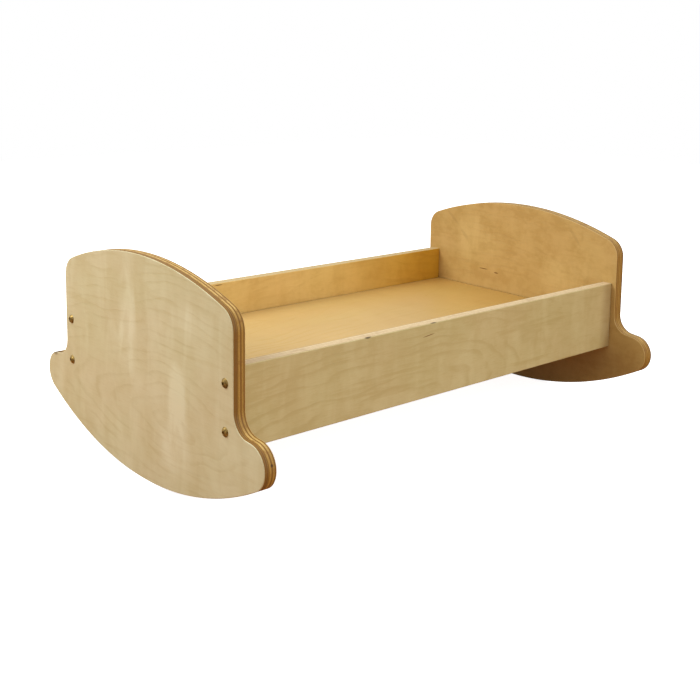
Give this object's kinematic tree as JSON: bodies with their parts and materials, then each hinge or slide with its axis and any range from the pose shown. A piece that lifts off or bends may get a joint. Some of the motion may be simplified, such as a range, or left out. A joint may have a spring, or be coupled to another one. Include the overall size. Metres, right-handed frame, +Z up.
{
  "type": "toy baby cradle",
  "caption": "Toy cradle of birch plywood: arched end panels on curved rocker feet, side rails and a flat floor board, held by dome-head screws.",
  "frame": {"origin": "on the ground, midway between the end panels and between the side rails", "axes": "+X from the head panel to the foot panel, +Y from the front rail to the back rail, +Z up"},
  "size_m": [0.6052, 0.4262, 0.2376],
  "materials": {
    "plywood": "satin",
    "cleat_wood": "matte",
    "screw_brass": "satin",
    "screw_steel": "satin"
  },
  "bodies": {
    "root": {"head_panel": "plywood", "foot_panel": "plywood", "front_rail": "plywood", "back_rail": "plywood", "floor_board": "plywood", "front_cleat": "cleat_wood", "back_cleat": "cleat_wood", "head_front_upper_screw": "screw_brass", "head_front_lower_screw": "screw_brass", "head_back_upper_screw": "screw_brass", "head_back_lower_screw": "screw_brass", "foot_front_upper_screw": "screw_brass", "foot_front_lower_screw": "screw_brass", "foot_back_upper_screw": "screw_brass", "foot_back_lower_screw": "screw_brass", "front_cleat_screw_1": "screw_steel", "front_cleat_screw_2": "screw_steel", "front_cleat_screw_3": "screw_steel", "back_cleat_screw_1": "screw_steel", "back_cleat_screw_2": "screw_steel", "back_cleat_screw_3": "screw_steel", "front_floor_screw_1": "screw_steel", "front_floor_screw_2": "screw_steel", "back_floor_screw_1": "screw_steel", "back_floor_screw_2": "screw_steel"}
  },
  "joints": []
}
